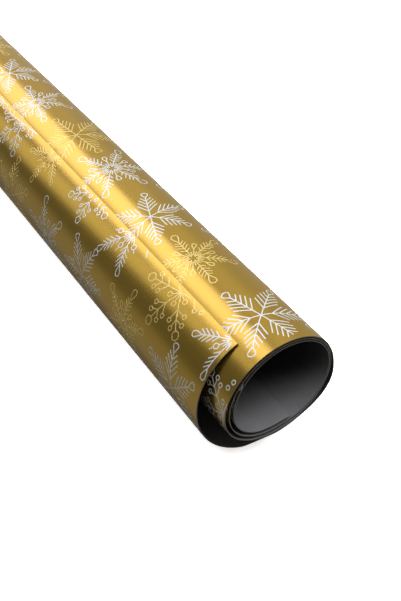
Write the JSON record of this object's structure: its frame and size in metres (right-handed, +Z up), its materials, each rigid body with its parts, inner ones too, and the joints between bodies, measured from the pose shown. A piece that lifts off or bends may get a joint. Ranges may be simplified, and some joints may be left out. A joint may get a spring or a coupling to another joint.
{
  "type": "rolled vinyl sheet",
  "caption": "Loosely rolled sheet of gold self-adhesive vinyl with a snowflake print and a black release liner, with turns that slide and an outer edge that lifts.",
  "frame": {"origin": "centre of the roll's box, on the surface the roll lies on", "axes": "+Y along the roll's axis away from the end whose tight turns stand out, +Z up, +X to the right of +Y's viewer"},
  "size_m": [0.0506, 0.3156, 0.0523],
  "materials": {
    "gold_film": "metallised gold, satin gloss",
    "adhesive": "clear tacky coat",
    "black_liner": "satin black release coat",
    "silver_print": "silver ink",
    "pale_gold_print": "pale gold ink"
  },
  "bodies": {
    "turn_1": {"film_turn_1": "gold_film", "adhesive_turn_1": "adhesive", "liner_turn_1": "black_liner"},
    "turn_2": {"film_turn_2": "gold_film", "adhesive_turn_2": "adhesive", "liner_turn_2": "black_liner"},
    "turn_3": {"film_turn_3": "gold_film", "adhesive_turn_3": "adhesive", "liner_turn_3": "black_liner"},
    "turn_4": {"film_turn_4": "gold_film", "adhesive_turn_4": "adhesive", "liner_turn_4": "black_liner"},
    "flap_1": {"film_flap_1": "gold_film", "adhesive_flap_1": "adhesive", "liner_flap_1": "black_liner"},
    "flap_2": {"film_flap_2": "gold_film", "adhesive_flap_2": "adhesive", "liner_flap_2": "black_liner"},
    "flap_3": {"film_flap_3": "gold_film", "adhesive_flap_3": "adhesive", "liner_flap_3": "black_liner"},
    "flap_4": {"film_flap_4": "gold_film", "adhesive_flap_4": "adhesive", "liner_flap_4": "black_liner"},
    "flap_5": {"film_flap_5": "gold_film", "adhesive_flap_5": "adhesive", "liner_flap_5": "black_liner"},
    "flap_6": {"film_flap_6": "gold_film", "adhesive_flap_6": "adhesive", "liner_flap_6": "black_liner"}
  },
  "joints": [
    {"name": "turn_2_slide", "type": "slide", "parent": "turn_1", "child": "turn_2", "axis": [0, -1, 0], "range_m": [-0.0107, 0.012]},
    {"name": "turn_3_slide", "type": "slide", "parent": "turn_2", "child": "turn_3", "axis": [0, -1, 0], "range_m": [-0.008, 0.015]},
    {"name": "turn_4_slide", "type": "slide", "parent": "turn_3", "child": "turn_4", "axis": [0, -1, 0], "range_m": [-0.008, 0.015]},
    {"name": "flap_1_bend", "type": "hinge", "parent": "turn_1", "child": "flap_1", "pos_m": [-0.02181, 0, 0.0122], "axis": [0, -1, 0], "range_deg": [0, 16], "stiffness_Nm_per_rad": 0.0003},
    {"name": "flap_2_bend", "type": "hinge", "parent": "flap_1", "child": "flap_2", "pos_m": [-0.02452, 0, 0.01891], "axis": [0, -1, 0], "range_deg": [0, 16], "stiffness_Nm_per_rad": 0.0003},
    {"name": "flap_3_bend", "type": "hinge", "parent": "flap_2", "child": "flap_3", "pos_m": [-0.02528, 0, 0.02611], "axis": [0, -1, 0], "range_deg": [0, 16], "stiffness_Nm_per_rad": 0.0003},
    {"name": "flap_4_bend", "type": "hinge", "parent": "flap_3", "child": "flap_4", "pos_m": [-0.02402, 0, 0.03323], "axis": [0, -1, 0], "range_deg": [0, 16], "stiffness_Nm_per_rad": 0.0003},
    {"name": "flap_5_bend", "type": "hinge", "parent": "flap_4", "child": "flap_5", "pos_m": [-0.02085, 0, 0.03974], "axis": [0, -1, 0], "range_deg": [0, 16], "stiffness_Nm_per_rad": 0.0003},
    {"name": "flap_6_bend", "type": "hinge", "parent": "flap_5", "child": "flap_6", "pos_m": [-0.01601, 0, 0.04512], "axis": [0, -1, 0], "range_deg": [0, 16], "stiffness_Nm_per_rad": 0.0003}
  ],
  "couplings": [
    {"joint": "turn_4_slide", "follows": "turn_3_slide", "ratio": 1},
    {"joint": "flap_2_bend", "follows": "flap_1_bend", "ratio": 1},
    {"joint": "flap_3_bend", "follows": "flap_1_bend", "ratio": 1},
    {"joint": "flap_4_bend", "follows": "flap_1_bend", "ratio": 1},
    {"joint": "flap_5_bend", "follows": "flap_1_bend", "ratio": 1},
    {"joint": "flap_6_bend", "follows": "flap_1_bend", "ratio": 1}
  ]
}
